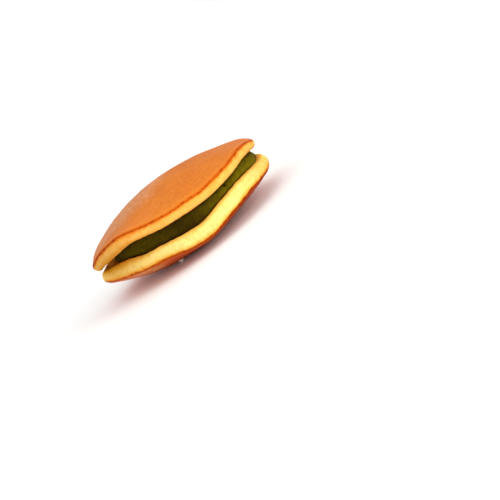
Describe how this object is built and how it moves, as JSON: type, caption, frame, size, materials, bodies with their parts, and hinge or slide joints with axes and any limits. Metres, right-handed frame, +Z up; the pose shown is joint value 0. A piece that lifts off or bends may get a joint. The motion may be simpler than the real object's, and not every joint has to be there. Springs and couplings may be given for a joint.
{
  "type": "dorayaki",
  "caption": "Dorayaki: browned griddled sponge cakes closed like a clam round a mound of green bean paste that shows between their pale yellow rims.",
  "frame": {"origin": "centre of the footprint, on the surface that the lower cake rests on", "axes": "+X along the longest width, -Y towards the open front where most of the paste shows, +Z up out of the upper cake"},
  "size_m": [0.0922, 0.0912, 0.0334],
  "materials": {
    "golden_brown_sponge": "soft sponge cake with a smooth golden brown crust and a pale yellow crumb at the rim",
    "green_bean_paste": "dense sweet bean paste, dark olive green, slightly moist and grainy",
    "brown_sponge": "soft sponge cake with a smooth reddish brown crust and a pale yellow crumb at the rim"
  },
  "bodies": {
    "root": {"cake_top": "golden_brown_sponge", "bean_paste": "green_bean_paste", "cake_bottom": "brown_sponge"}
  },
  "joints": []
}
